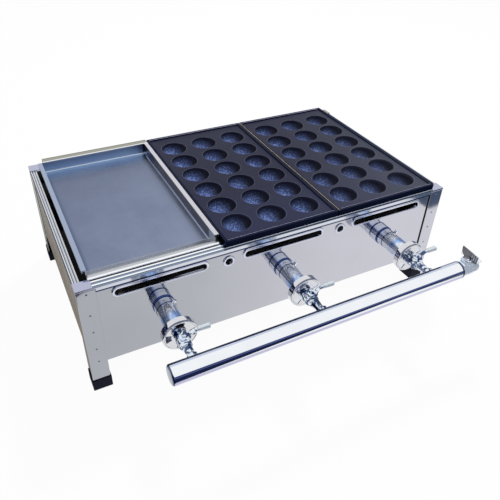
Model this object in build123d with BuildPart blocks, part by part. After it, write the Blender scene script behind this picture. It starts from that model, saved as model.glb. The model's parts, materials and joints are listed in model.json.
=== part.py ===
from build123d import *
import math
import os

# Three-bay gas takoyaki maker: a stainless casing on four angle legs, three
# cast iron burners fed from one gas pipe, a flat griddle in the left bay and
# two 18-cavity plates in the others. Millimetres, +Z up, front towards -Y.
# The origin is the middle of the footprint, on the surface under the feet.

os.makedirs("parts", exist_ok=True)

# ---- casing ----
casing_width = 600.0
casing_depth = 350.0
rail_height = 186.0          # top of the corner squares above the surface
sheet = 1.5                  # panels
leg_sheet = 2.0
leg_width = 25.0
foot_wall = 1.2
foot_floor = 3.0
foot_height = 20.0
panel_lift = 50.0            # lower edge of the front and rear panels
side_lift = 62.0             # lower edge of the side panels
hem = 10.0                   # turned-in lower edge of a panel

# ---- top frame ----
strip = 2.0                  # front and rear rail strips
side_strip = 1.2
corner_thickness = 3.0
front_corner_length = 22.0
front_rail_depth = 18.0
rear_rail_depth = 12.0
rear_corner_depth = 20.0
rear_corner_length = 19.0
side_rail_width = 11.0
lip = 6.0                    # rail edge turned down over the panel
rib_height = 1.0
rib_width = 3.0
stay_width = 8.0
stay_height = 8.0

# ---- cooking plates ----
seat_gap = 0.3               # lift-off plates rest this far above the rails
plate_height = 8.7           # seat to the plates' rims
bay_gap = 1.2                # between neighbouring plates
left_margin = 15.0           # casing side to the griddle's rim
right_margin = 18.2          # casing side to the right plate's rim
griddle_width = 190.8
griddle_front = 17.0         # behind the casing's front face
griddle_rear = 2.0           # in front of its rear face
griddle_sheet = 2.0
griddle_flange = 6.6         # width of the side rims
griddle_rear_flange = 14.0
griddle_depth = 19.0         # rim to cooking surface
griddle_hem = 5.0            # rim edge turned down
side_rim_start = 26.0        # side rims end here, behind the low front lip
slope_top = 24.0             # the front slope, from the lip ...
slope_foot = 45.0            # ... down to the floor

plate_front = 4.6
plate_rear = 3.8
rim_width = 4.0
rim_rise = 2.5               # rim above the deck
skirt_wall = 5.0
deck_thickness = 5.0

cavity_radius = 22.0
cavity_depth = 19.0
cavity_wall = 4.5
cavity_floor = 2.5
cavity_bevels = ((13.0, 9.0), (2.6, 5.6))    # rise and run of the bowl's two lower bands
dome_bevel = (12.0, 8.5)
cavity_side_margin = 7.0     # plate's side to the grid of cavities
cavity_end_margin = 18.4
cavity_columns = 3
cavity_rows = 6
cavity_shift = -3.5          # grid centre in front of the plate's centre
cavity_sides = 12
dome_sides = 8

# ---- front panel openings ----
burner_left = 109.0          # casing side to the first burner's axis
burner_right = 116.0         # ... and to the last one's
slot_shift = 3.0
slot_spacing = 59.5          # between the ends of neighbouring slots
slot_height = 10.5
slot_drop = 19.5             # below the corner squares' top
peephole_left = 210.0
peephole_right = 202.0
peephole_drop = 23.0
peephole_radius = 5.5

# ---- burners and mixing tubes ----
tube_drop = 58.0             # tube axis below the corner squares' top
tube_radius = 14.0
tube_bore = 12.2
tube_inside = 30.0           # end of its bore behind the casing's front face
panel_clearance = 0.3
flame_bar_spacing = 64.0
flame_bar_base = 28.0
flame_bar_height = 18.0
flame_bar_drop = 50.0
flame_bar_front = 20.0
flame_bar_rear = 32.0        # in front of the casing's rear face
flame_bar_angle = 76.0
header_length = 34.0
header_drop = 26.0
port_count = 7
port_end_margin = 30.0
port_length = 12.0
port_width = 3.0
port_depth = 4.0
support_width = 22.0
support_height = 3.0
tube_screw_radius = 2.6
tube_screw_length = 5.0
tube_screw_y = 19.5          # in front of the casing
tube_screw_angle = 50.0

# ---- air mouths and shutter discs ----
shutter_radius = 24.0
shutter_sheet = 1.8
shutter_reach = 69.0         # its face in front of the casing
shutter_gap = 0.2
mouth_radius = 23.4
mouth_depth = 8.5
mouth_wall = 2.0
air_core = 9.0               # open centre of the mouth
window_count = 4
shutter_sides = 32
shutter_turn = (0, 37, 37)   # left to right: open, almost shut, almost shut
window_inner = 12.6
window_outer = 20.4
window_half_inner = 4.6
window_half_outer = 7.0

# ---- gas cocks ----
spigot_radius = 8.0
running_gap = 0.06           # radial, between turning pieces
spigot_end = 61.0
barrel_width = 19.0
barrel_height = 17.0
barrel_edge = 3.0
barrel_end = 92.0
plug_reach = 82.0            # plug axis in front of the casing
boss_width = 16.8            # across flats
boss_rise = 10.6             # boss top above the tube axis
neck_width = 13.0            # across flats
saddle_gap = 0.1
plug_radius = 5.4
plug_drop = 5.5
stem_side = 6.0
stem_clearance = 0.05
lever_gap = 0.3
lever_sheet = 2.5
lever_hub = 7.5
lever_width = 6.0
lever_rise = 3.8
lever_bend = 7.0
lever_reach = 15.5
grip_radius = 3.2
grip_length = 19.0
cock_nut_width = 8.0         # across flats
cock_nut_height = 2.4
round_sides = 12             # faces round a grip or a lever's hub
jet_width = 8.0              # across flats
jet_length = 6.0

# ---- gas pipe ----
pipe_reach = 123.0           # pipe axis in front of the casing
pipe_radius = 13.6
pipe_left_margin = 73.4      # casing side to the pipe's left end fitting
pipe_right_margin = 67.6
cap_length = 8.0
cap_edge = 2.0
main_hex = 22.0              # across flats
main_length = 30.6
main_plug_offset = 13.6      # plug axis from the body's inner end
main_boss_width = 19.0       # across flats
main_boss_rise = 14.0
main_plug_radius = 6.0
main_plug_floor = 3.0
inlet_radius = 7.5
inlet_depth = 10.0
main_lever_front = 13.5      # blade ends from the plug's axis
main_lever_rear = 16.5
main_lever_height = 14.0
main_lever_base = 13.6
main_lever_sheet = 2.0
main_hub_radius = 7.5

# ---- places worked out from the sizes ----
left = -casing_width / 2
right = casing_width / 2
total_depth = pipe_reach + pipe_radius + casing_depth + foot_wall
front = pipe_reach + pipe_radius - total_depth / 2
back = front + casing_depth
rail_under = rail_height - corner_thickness
strip_top = rail_under + strip
seat_z = strip_top + rib_height + seat_gap
rim_top = seat_z + plate_height
deck_z = rim_top - rim_rise
web_under = deck_z - deck_thickness
floor_top = rim_top - griddle_depth
pipe_y = front - pipe_reach
plate_length = casing_depth - plate_front - plate_rear
plate_y = front + plate_front + plate_length / 2
griddle_left = left + left_margin
griddle_back = back - griddle_rear
plate_left = [griddle_left + griddle_width + bay_gap]
plate_width = (right - right_margin - plate_left[0] - bay_gap) / 2
plate_left.append(plate_left[0] + plate_width + bay_gap)
cavity_pitch_x = (plate_width - 2 * cavity_side_margin) / cavity_columns
cavity_pitch_y = (plate_length - 2 * cavity_end_margin) / cavity_rows
burner_pitch = (casing_width - burner_left - burner_right) / 2
burner_x = [left + burner_left + burner_pitch * bay for bay in range(3)]
slot_length = burner_pitch - slot_spacing
slot_z = rail_height - slot_drop
peephole_z = rail_height - peephole_drop
tube_z = rail_height - tube_drop
flame_bar_z = rail_height - flame_bar_drop
flame_bar_length = casing_depth - flame_bar_front - flame_bar_rear
port_pitch = (flame_bar_length - 2 * port_end_margin) / port_count
shutter_y = front - shutter_reach
mouth_y = shutter_y + shutter_sheet + shutter_gap
plug_y = front - plug_reach
boss_top = tube_z + boss_rise
lever_z = boss_top + lever_gap
stem_top = lever_z + lever_sheet
main_inner = right - pipe_right_margin
main_plug_x = main_inner + main_plug_offset
main_boss_top = tube_z + main_boss_rise


def facing_front(y):
    """A sketch plane at this y: x to the right, z up, extruding forwards."""
    return Plane.XZ.offset(-y)


def facing_right(x):
    """A sketch plane at this x: y across, z up, extruding to the right."""
    return Plane.YZ.offset(x)


def save(builder, name):
    builder.part.label = name
    export_step(builder.part, f"parts/{name}.step")


def block(x0, x1, y0, y1, z0, z1, mode=Mode.ADD):
    """A rectangular run of sheet or bar between these limits."""
    with BuildSketch(Plane.XY.offset(z0)) as outline:
        with Locations(((x0 + x1) / 2, (y0 + y1) / 2)):
            Rectangle(x1 - x0, y1 - y0)
    extrude(outline.sketch, amount=z1 - z0, mode=mode)


def rod(plane, x, y, radius, length, mode=Mode.ADD):
    """A round length that starts on the plane."""
    with BuildSketch(plane) as outline:
        with Locations((x, y)):
            Circle(radius)
    extrude(outline.sketch, amount=length, mode=mode)


# ---- casing ----
def corner_leg(name, side, end):
    """A leg is an L angle with its faces flush with the casing's corner."""
    corner_x = side * casing_width / 2
    corner_y = front if end < 0 else back
    inner = leg_width - leg_sheet
    with BuildPart() as leg:
        with BuildSketch(Plane.XY.offset(foot_floor)):
            with Locations((corner_x - side * leg_width / 2, corner_y - end * leg_width / 2)):
                Rectangle(leg_width, leg_width)
            inset = leg_sheet + inner / 2
            with Locations((corner_x - side * inset, corner_y - end * inset)):
                Rectangle(inner, inner, mode=Mode.SUBTRACT)
        extrude(amount=rail_under - foot_floor)
    save(leg, "leg_" + name)

    with BuildPart() as foot:
        centre = (corner_x - side * leg_width / 2, corner_y - end * leg_width / 2)
        with BuildSketch():
            with Locations(centre):
                Rectangle(leg_width + 2 * foot_wall, leg_width + 2 * foot_wall)
        extrude(amount=foot_height)
        with BuildSketch(Plane.XY.offset(foot_floor)):
            with Locations(centre):
                Rectangle(leg_width, leg_width)
        extrude(amount=foot_height - foot_floor, mode=Mode.SUBTRACT)
    save(foot, "foot_" + name)


for end_name, end in (("front", -1), ("rear", 1)):
    for side_name, side in (("left", -1), ("right", 1)):
        corner_leg(f"{end_name}_{side_name}", side, end)

panel_half = casing_width / 2 - leg_sheet
hem_half = casing_width / 2 - leg_width

with BuildPart() as front_panel:
    inner_face = front + leg_sheet + sheet
    with BuildSketch(facing_front(inner_face)):
        with Locations((0, (panel_lift + rail_under) / 2)):
            Rectangle(2 * panel_half, rail_under - panel_lift)
        for x in burner_x:
            with Locations((x + slot_shift, slot_z)):
                SlotOverall(slot_length, slot_height, mode=Mode.SUBTRACT)
            with Locations((x, tube_z)):
                Circle(tube_radius + panel_clearance, mode=Mode.SUBTRACT)
        with Locations((left + peephole_left, peephole_z), (right - peephole_right, peephole_z)):
            Circle(peephole_radius, mode=Mode.SUBTRACT)
    extrude(amount=sheet)
    block(-hem_half, hem_half, inner_face, inner_face + hem, panel_lift, panel_lift + sheet)
save(front_panel, "front_panel")

with BuildPart() as rear_panel:
    inner_face = back - leg_sheet - sheet
    block(-panel_half, panel_half, inner_face, inner_face + sheet, panel_lift, rail_under)
    block(-hem_half, hem_half, inner_face - hem, inner_face, panel_lift, panel_lift + sheet)
save(rear_panel, "rear_panel")

side_y0 = front + leg_sheet + sheet
side_y1 = back - leg_sheet - sheet
for name, side in (("left", -1), ("right", 1)):
    outer = side * panel_half
    inner = side * (panel_half - sheet)
    fold = side * (panel_half - sheet - hem)
    with BuildPart() as side_panel:
        block(min(outer, inner), max(outer, inner), side_y0, side_y1, side_lift, rail_under)
        block(min(inner, fold), max(inner, fold), front + leg_width, back - leg_width,
              side_lift, side_lift + sheet)
    save(side_panel, name + "_side_panel")


# ---- top frame ----
def cross_rail(name, edge, inward, depth, corner_length, corner_depth):
    """The front or rear rail: a ribbed strip between two flat corner squares."""
    def span(a, b):
        ya = edge + inward * a
        yb = edge + inward * b
        return min(ya, yb), max(ya, yb)

    with BuildPart() as rail:
        block(left, right, *span(0, depth), rail_under, strip_top)
        for x0 in (left, right - corner_length):
            block(x0, x0 + corner_length, *span(0, corner_depth), rail_under, rail_height)
        block(-hem_half, hem_half, *span(0, leg_sheet), rail_under - lip, rail_under)
        block(-hem_half, hem_half, *span(depth - sheet, depth), rail_under - lip, rail_under)
        rib_x = casing_width / 2 - corner_length
        for place in (0.25, 0.65):
            middle = depth * place
            block(-rib_x, rib_x, *span(middle - rib_width / 2, middle + rib_width / 2),
                  strip_top, strip_top + rib_height)
    save(rail, name)


cross_rail("front_rail", front, 1, front_rail_depth, front_corner_length, front_rail_depth)
cross_rail("rear_rail", back, -1, rear_rail_depth, rear_corner_length, rear_corner_depth)

rail_y0 = front + front_rail_depth
rail_y1 = back - rear_corner_depth
for name, side in (("left", -1), ("right", 1)):
    edge = side * casing_width / 2
    with BuildPart() as side_rail:
        def across(a, b, y0, y1, z0, z1):
            xa = edge - side * a
            xb = edge - side * b
            block(min(xa, xb), max(xa, xb), y0, y1, z0, z1)

        across(0, side_rail_width, rail_y0, rail_y1, rail_under, rail_under + side_strip)
        across(0, leg_sheet, front + leg_width, back - leg_width, rail_under - lip, rail_under)
        across(side_rail_width - sheet, side_rail_width, rail_y0, rail_y1,
               rail_under - lip, rail_under)
        for place in (0.12, 0.45, 0.78):
            start = side_rail_width * place
            across(start, start + rib_width / 2, rail_y0, rail_y1,
                   rail_under + side_strip, rail_under + side_strip + rib_height)
    save(side_rail, name + "_side_rail")

for name, x in (("left", plate_left[0]), ("right", plate_left[1])):
    middle = x - bay_gap / 2
    with BuildPart() as stay:
        block(middle - stay_width / 2, middle + stay_width / 2,
              front + front_rail_depth, back - rear_rail_depth,
              rail_under - stay_height, rail_under)
    save(stay, "cross_stay_" + name)


# ---- burners ----
def windows(turn=0):
    """The four air windows, added to the sketch that is open."""
    with PolarLocations(0, window_count, start_angle=turn):
        Polygon((window_inner, -window_half_inner), (window_outer, -window_half_outer),
                (window_outer, window_half_outer), (window_inner, window_half_inner),
                align=None)


def burner(name, x):
    """Two ported flame bars on a header, with a mixing tube and its air mouth."""
    bar_front = front + flame_bar_front
    bar_top = flame_bar_z + flame_bar_height
    half = flame_bar_spacing / 2
    header_half = half + flame_bar_base / 2
    mouth_back = mouth_y + mouth_depth
    with BuildPart() as casting:
        with BuildSketch(facing_front(bar_front + flame_bar_length)):
            with Locations((x - half, flame_bar_z), (x + half, flame_bar_z)):
                Trapezoid(flame_bar_base, flame_bar_height, flame_bar_angle,
                          align=(Align.CENTER, Align.MIN))
        extrude(amount=flame_bar_length)
        with BuildSketch(Plane.XY.offset(bar_top)):
            with Locations((x, bar_front + flame_bar_length / 2 + port_pitch / 2)):
                with GridLocations(flame_bar_spacing, port_pitch, 2, port_count):
                    Rectangle(port_length, port_width)
        extrude(amount=-port_depth, mode=Mode.SUBTRACT)
        block(x - header_half, x + header_half, bar_front, bar_front + header_length,
              flame_bar_z - header_drop, bar_top - port_depth)
        rod(facing_front(bar_front), x, tube_z, tube_radius, bar_front - mouth_back)
        rod(facing_front(mouth_back), x, tube_z, mouth_radius, mouth_depth)
        bore_end = front + tube_inside
        rod(facing_front(bore_end), x, tube_z, tube_bore, bore_end - mouth_back + mouth_wall,
            mode=Mode.SUBTRACT)
        # four pockets that the shutter's windows open and close
        with BuildSketch(facing_front(mouth_back - mouth_wall)):
            with Locations((x, tube_z)):
                windows()
                Rectangle(2 * window_inner, 2 * window_half_inner)
                Rectangle(2 * window_half_inner, 2 * window_inner)
                RegularPolygon(air_core, 2 * window_count, major_radius=False)
        extrude(amount=mouth_depth - mouth_wall, mode=Mode.SUBTRACT)
    save(casting, "burner_" + name)


def air_shutter(name, x, turn):
    """A windowed disc that turns on the cock's spigot, in front of the mouth."""
    with BuildPart() as shutter:
        with BuildSketch(facing_front(shutter_y + shutter_sheet)):
            with Locations((x, tube_z)):
                RegularPolygon(shutter_radius, shutter_sides)
                Circle(spigot_radius + running_gap, mode=Mode.SUBTRACT)
            with BuildSketch(mode=Mode.SUBTRACT):
                with Locations((x, tube_z)):
                    windows(turn)
        extrude(amount=shutter_sheet)
    save(shutter, "air_shutter_" + name)


# ---- gas cocks ----
def gas_cock(name, x):
    """A cock between the gas pipe and the mixing tube, with an upright plug."""
    barrel_back = shutter_y - lever_gap
    with BuildPart() as body:
        rod(facing_front(front - spigot_end), x, tube_z, spigot_radius,
            front - spigot_end - barrel_back)
        with BuildSketch(facing_front(barrel_back)) as section:
            with Locations((x, tube_z)):
                Rectangle(barrel_width, barrel_height)
            chamfer(section.vertices(), barrel_edge)
        extrude(amount=barrel_back - (front - barrel_end))
        with BuildSketch(Plane.XY.offset(tube_z)):
            with Locations((x, plug_y)):
                RegularPolygon(boss_width / 2, 8, major_radius=False)
        extrude(amount=boss_rise)
        with BuildSketch(facing_front(front - barrel_end)):
            with Locations((x, tube_z)):
                RegularPolygon(neck_width / 2, 6, major_radius=False)
        extrude(amount=front - barrel_end - pipe_y)
        rod(facing_right(x - neck_width), pipe_y, tube_z, pipe_radius + saddle_gap,
            2 * neck_width, mode=Mode.SUBTRACT)
        rod(Plane.XY.offset(tube_z - plug_drop), x, plug_y, plug_radius + running_gap,
            plug_drop + boss_rise, mode=Mode.SUBTRACT)
    save(body, "cock_body_" + name)

    with BuildPart() as plug:
        plug_bottom = tube_z - plug_drop + lever_gap
        rod(Plane.XY.offset(plug_bottom), x, plug_y, plug_radius, boss_top - plug_bottom)
        half = stem_side / 2
        block(x - half, x + half, plug_y - half, plug_y + half, boss_top, stem_top)
    save(plug, "cock_plug_" + name)

    rise = lever_z + lever_rise
    with BuildPart() as lever:
        with BuildSketch(facing_front(plug_y + lever_width / 2)):
            Polygon((x, lever_z), (x + lever_bend, lever_z), (x + lever_reach, rise),
                    (x + lever_reach, rise + lever_sheet), (x + lever_bend, stem_top),
                    (x, stem_top), align=None)
        extrude(amount=lever_width)
        with BuildSketch(Plane.XY.offset(lever_z)):
            with Locations((x, plug_y)):
                RegularPolygon(lever_hub, round_sides)
        extrude(amount=lever_sheet)
        half = stem_side / 2 + stem_clearance
        block(x - half, x + half, plug_y - half, plug_y + half, lever_z, stem_top,
              mode=Mode.SUBTRACT)
    save(lever, "cock_lever_" + name)

    with BuildPart() as grip:
        with BuildSketch(facing_right(x + lever_reach)):
            with Locations((plug_y, rise + lever_sheet / 2)):
                RegularPolygon(grip_radius, round_sides)
        extrude(amount=grip_length)
    save(grip, "lever_grip_" + name)

    with BuildPart() as nut:
        with BuildSketch(Plane.XY.offset(stem_top)):
            with Locations((x, plug_y)):
                RegularPolygon(cock_nut_width / 2, 6, major_radius=False)
        extrude(amount=cock_nut_height)
    save(nut, "cock_nut_" + name)


for name, x, turn in zip(("left", "middle", "right"), burner_x, shutter_turn):
    burner(name, x)
    air_shutter(name, x, turn)
    gas_cock(name, x)

with BuildPart() as support:
    support_back = front + flame_bar_front + flame_bar_length
    block(-panel_half + sheet, panel_half - sheet, support_back - support_width, support_back,
          flame_bar_z - support_height, flame_bar_z)
save(support, "burner_support_bar")

with BuildPart() as tube_screws:
    angle = math.radians(tube_screw_angle)
    out = (math.cos(angle), 0, math.sin(angle))
    seat = tube_radius + saddle_gap
    for x in burner_x:
        origin = (x + seat * out[0], front - tube_screw_y, tube_z + seat * out[2])
        with BuildSketch(Plane(origin=origin, z_dir=out)):
            RegularPolygon(tube_screw_radius, 6)
        extrude(amount=tube_screw_length)
save(tube_screws, "tube_screws")

with BuildPart() as jets:
    with BuildSketch(facing_front(front - spigot_end + jet_length)):
        with Locations([(x, tube_z) for x in burner_x]):
            RegularPolygon(jet_width / 2, 6, major_radius=False)
    extrude(amount=jet_length)
save(jets, "gas_jets")

# ---- gas pipe and main cock ----
pipe_left = left + pipe_left_margin + cap_length
pipe_right = main_inner - cap_length

with BuildPart() as pipe:
    rod(facing_right(pipe_left), pipe_y, tube_z, pipe_radius, pipe_right - pipe_left)
save(pipe, "gas_pipe")

with BuildPart() as pipe_ends:
    rod(facing_right(pipe_left - cap_length), pipe_y, tube_z, pipe_radius, cap_length)
    rod(facing_right(pipe_right), pipe_y, tube_z, pipe_radius, cap_length)
    ends = pipe_ends.edges().sort_by(Axis.X)
    chamfer([ends[0], ends[-1]], cap_edge)
save(pipe_ends, "pipe_ends")

with BuildPart() as main_body:
    with BuildSketch(facing_right(main_inner)):
        with Locations((pipe_y, tube_z)):
            RegularPolygon(main_hex / 2, 6, major_radius=False, rotation=30)
    extrude(amount=main_length)
    with BuildSketch(Plane.XY.offset(tube_z)):
        with Locations((main_plug_x, pipe_y)):
            RegularPolygon(main_boss_width / 2, 8, major_radius=False)
    extrude(amount=main_boss_rise)
    rod(Plane.XY.offset(tube_z - main_hex / 2 + main_plug_floor), main_plug_x, pipe_y,
        main_plug_radius + running_gap, main_hex + main_boss_rise, mode=Mode.SUBTRACT)
    rod(facing_right(main_inner + main_length - inlet_depth), pipe_y, tube_z, inlet_radius,
        inlet_depth, mode=Mode.SUBTRACT)
save(main_body, "main_cock_body")

main_lever_z = main_boss_top + lever_gap

with BuildPart() as main_plug:
    plug_bottom = tube_z - main_hex / 2 + main_plug_floor + lever_gap
    rod(Plane.XY.offset(plug_bottom), main_plug_x, pipe_y, main_plug_radius,
        main_lever_z - plug_bottom)
save(main_plug, "main_cock_plug")

with BuildPart() as main_lever:
    blade_x = main_plug_x + main_lever_sheet / 2
    y0 = pipe_y - main_lever_front
    y1 = pipe_y + main_lever_rear
    with BuildSketch(Plane.XY.offset(main_lever_z)):
        with Locations((main_plug_x, pipe_y)):
            RegularPolygon(main_hub_radius, round_sides)
    extrude(amount=main_lever_sheet)
    block(blade_x, blade_x + main_lever_base, y0, y1,
          main_lever_z, main_lever_z + main_lever_sheet)
    block(blade_x, blade_x + main_lever_sheet, y0, y1,
          main_lever_z, main_lever_z + main_lever_height)
save(main_lever, "main_cock_lever")

# ---- griddle ----
with BuildPart() as griddle:
    x0 = griddle_left + griddle_flange - griddle_sheet
    x1 = griddle_left + griddle_width - griddle_flange + griddle_sheet
    wall_y = griddle_back - griddle_rear_flange
    t = griddle_sheet
    lip_z = seat_z + t
    # the sheet from front lip to rear rim, cut across and run along X
    with BuildSketch(facing_right(x0)):
        Polygon(
            (front + griddle_front, seat_z),
            (front + slope_top - t / 2, seat_z),
            (front + slope_foot - t / 2, floor_top - t),
            (wall_y + t, floor_top - t),
            (wall_y + t, rim_top - t),
            (griddle_back - t, rim_top - t),
            (griddle_back - t, seat_z),
            (griddle_back, seat_z),
            (griddle_back, rim_top),
            (wall_y, rim_top),
            (wall_y, floor_top),
            (front + slope_foot, floor_top),
            (front + slope_top, lip_z),
            (front + griddle_front, lip_z),
            align=None,
        )
    extrude(amount=x1 - x0)
    # side walls with their outward rims
    for wall_x, outward in ((x0, -1), (x1, 1)):
        inner_x = wall_x - outward * t
        rim_edge = inner_x + outward * griddle_flange
        hem_edge = rim_edge - outward * t
        rim_y0 = front + side_rim_start
        with BuildSketch(facing_right(min(wall_x, inner_x))):
            Polygon(
                (rim_y0, lip_z - t),
                (front + slope_foot, floor_top - t),
                (wall_y + t, floor_top - t),
                (wall_y + t, rim_top),
                (rim_y0, rim_top),
                align=None,
            )
        extrude(amount=t)
        block(min(wall_x, rim_edge), max(wall_x, rim_edge), rim_y0, griddle_back,
              rim_top - t, rim_top)
        block(min(hem_edge, rim_edge), max(hem_edge, rim_edge), rim_y0, griddle_back,
              rim_top - griddle_hem, rim_top)
save(griddle, "griddle_pan")


# ---- cavity plates ----
def bowl(radius, depth, sides, bevels):
    """A many-sided bowl hanging from z = 0, cut in below by bevels."""
    with BuildPart() as form:
        with BuildSketch(Plane.XY.offset(-depth)):
            RegularPolygon(radius, sides)
        extrude(amount=depth)
        for rise, run in bevels:
            floor = form.faces().sort_by(Axis.Z)[0]
            chamfer(floor.edges(), run, rise, reference=floor)
    return form.part


hollow = bowl(cavity_radius, cavity_depth, cavity_sides, cavity_bevels)
dome = bowl(cavity_radius + cavity_wall, cavity_depth + cavity_floor, dome_sides, (dome_bevel,))


def cavity_plate(name, x0):
    """A cast plate with a thin rim, a skirt and bowl cavities."""
    centre = (x0 + plate_width / 2, plate_y)
    grid = (centre[0], centre[1] + cavity_shift)
    with BuildPart() as plate:
        with BuildSketch(Plane.XY.offset(seat_z)):
            with Locations(centre):
                Rectangle(plate_width, plate_length)
        extrude(amount=rim_top - seat_z)
        with BuildSketch(Plane.XY.offset(rim_top)):
            with Locations(centre):
                Rectangle(plate_width - 2 * rim_width, plate_length - 2 * rim_width)
        extrude(amount=-rim_rise, mode=Mode.SUBTRACT)
        with BuildSketch(Plane.XY.offset(seat_z)):
            with Locations(centre):
                Rectangle(plate_width - 2 * skirt_wall, plate_length - 2 * skirt_wall)
        extrude(amount=web_under - seat_z, mode=Mode.SUBTRACT)
        with Locations((grid[0], grid[1], deck_z)):
            with GridLocations(cavity_pitch_x, cavity_pitch_y, cavity_columns, cavity_rows):
                add(dome)
                add(hollow, mode=Mode.SUBTRACT)
    save(plate, "takoyaki_plate_" + name)


for name, x0 in zip(("middle", "right"), plate_left):
    cavity_plate(name, x0)
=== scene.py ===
import json
import math
import bpy
import bmesh
from mathutils import Matrix, Vector

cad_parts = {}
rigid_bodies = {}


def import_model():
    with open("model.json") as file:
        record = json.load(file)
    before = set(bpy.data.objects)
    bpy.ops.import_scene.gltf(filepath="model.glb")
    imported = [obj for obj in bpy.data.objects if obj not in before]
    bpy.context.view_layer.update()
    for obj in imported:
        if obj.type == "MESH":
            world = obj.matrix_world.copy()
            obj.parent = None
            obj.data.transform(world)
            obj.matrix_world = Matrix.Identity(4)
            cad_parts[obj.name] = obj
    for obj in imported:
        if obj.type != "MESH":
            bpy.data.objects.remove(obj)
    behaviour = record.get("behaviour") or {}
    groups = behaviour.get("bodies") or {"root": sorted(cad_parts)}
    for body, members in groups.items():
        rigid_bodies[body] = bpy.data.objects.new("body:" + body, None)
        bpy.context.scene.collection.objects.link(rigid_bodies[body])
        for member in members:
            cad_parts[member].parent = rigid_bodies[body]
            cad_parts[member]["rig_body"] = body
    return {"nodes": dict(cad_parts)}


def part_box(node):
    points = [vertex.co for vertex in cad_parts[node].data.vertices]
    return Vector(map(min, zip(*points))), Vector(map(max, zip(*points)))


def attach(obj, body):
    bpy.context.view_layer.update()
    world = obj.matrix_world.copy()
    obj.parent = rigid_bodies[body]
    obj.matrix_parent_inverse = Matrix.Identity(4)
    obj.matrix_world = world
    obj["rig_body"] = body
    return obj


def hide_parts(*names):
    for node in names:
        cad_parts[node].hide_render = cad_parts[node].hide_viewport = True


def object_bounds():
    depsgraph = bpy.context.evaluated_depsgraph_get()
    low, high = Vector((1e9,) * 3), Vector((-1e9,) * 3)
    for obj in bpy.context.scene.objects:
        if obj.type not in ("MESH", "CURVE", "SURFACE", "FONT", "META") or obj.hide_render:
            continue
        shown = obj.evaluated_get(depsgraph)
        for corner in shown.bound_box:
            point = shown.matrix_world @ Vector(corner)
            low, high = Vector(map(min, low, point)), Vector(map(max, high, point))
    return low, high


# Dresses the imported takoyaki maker. Lengths are in millimetres until a piece is finished.

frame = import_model()
cadLow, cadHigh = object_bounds()
nodes = frame["nodes"]
print("frame loaded:", len(nodes), "nodes")


# shader helpers
class Wire:                                    # a socket; reckoning with it adds Math nodes
    def __init__(self, nodeTree, socket):
        self.nodeTree = nodeTree
        self.socket = socket

    def reckon(self, operation, first, second):
        return self.nodeTree.add("ShaderNodeMath", {"operation": operation}, {0: first, 1: second})

    def __add__(self, other):
        return self.reckon("ADD", self, other)

    def __sub__(self, other):
        return self.reckon("SUBTRACT", self, other)

    def __rsub__(self, other):
        return self.reckon("SUBTRACT", other, self)

    def __mul__(self, other):
        return self.reckon("MULTIPLY", self, other)

    def __abs__(self):
        return self.reckon("ABSOLUTE", self, 0.0)

    __radd__ = __add__
    __rmul__ = __mul__


class NodeTree:
    def __init__(self, owner):
        owner.use_nodes = True
        self.tree = owner.node_tree

    def add(self, kind, settings, inputs, output=0):
        node = self.tree.nodes.new(kind)
        for key, value in settings.items():
            setattr(node, key, value)
        for key, value in inputs.items():
            self.join(value, node.inputs[key])
        return Wire(self, node.outputs[output]) if len(node.outputs) else None

    def join(self, value, socket):
        if isinstance(value, Wire):
            self.tree.links.new(value.socket, socket)
        else:
            socket.default_value = value

    def position(self):
        return self.add("ShaderNodeTexCoord", {}, {}, 3)

    def stretched(self, where, scale):
        return self.add("ShaderNodeMapping", {}, {"Vector": where, "Scale": scale})

    def noise(self, where, scale, detail=3.0, roughness=0.55):
        return self.add("ShaderNodeTexNoise", {}, {"Vector": where, "Scale": scale,
                                                   "Detail": detail, "Roughness": roughness})

    def mask(self, value, low, high):          # 0 below low, 1 above high, eased between them
        return self.add("ShaderNodeMapRange", {"interpolation_type": "SMOOTHSTEP"},
                        {"Value": value, "From Min": low, "From Max": high})

    def tint(self, factor, first, second):
        return self.add("ShaderNodeMix", {"data_type": "RGBA"},
                        {0: factor, 6: rgba(first), 7: rgba(second)}, 2)

    def split(self, vector, output):
        return self.add("ShaderNodeSeparateXYZ", {}, {0: vector}, output)


def rgba(colour):
    return colour if isinstance(colour, Wire) else (*colour, 1.0)


class Finish(NodeTree):
    def __init__(self, name, **constants):
        self.material = bpy.data.materials.new(name)
        super().__init__(self.material)
        self.surface = self.tree.nodes["Principled BSDF"]
        for socket, value in constants.items():
            self.surface.inputs[socket.replace("_", " ")].default_value = value

    def feed(self, socket, value):
        self.join(value, self.surface.inputs[socket])

    def bump(self, height, strength, depth):
        bumped = self.add("ShaderNodeBump", {}, {"Strength": strength, "Distance": depth * 0.001,
                                                 "Height": height})
        self.feed("Normal", bumped)


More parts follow.
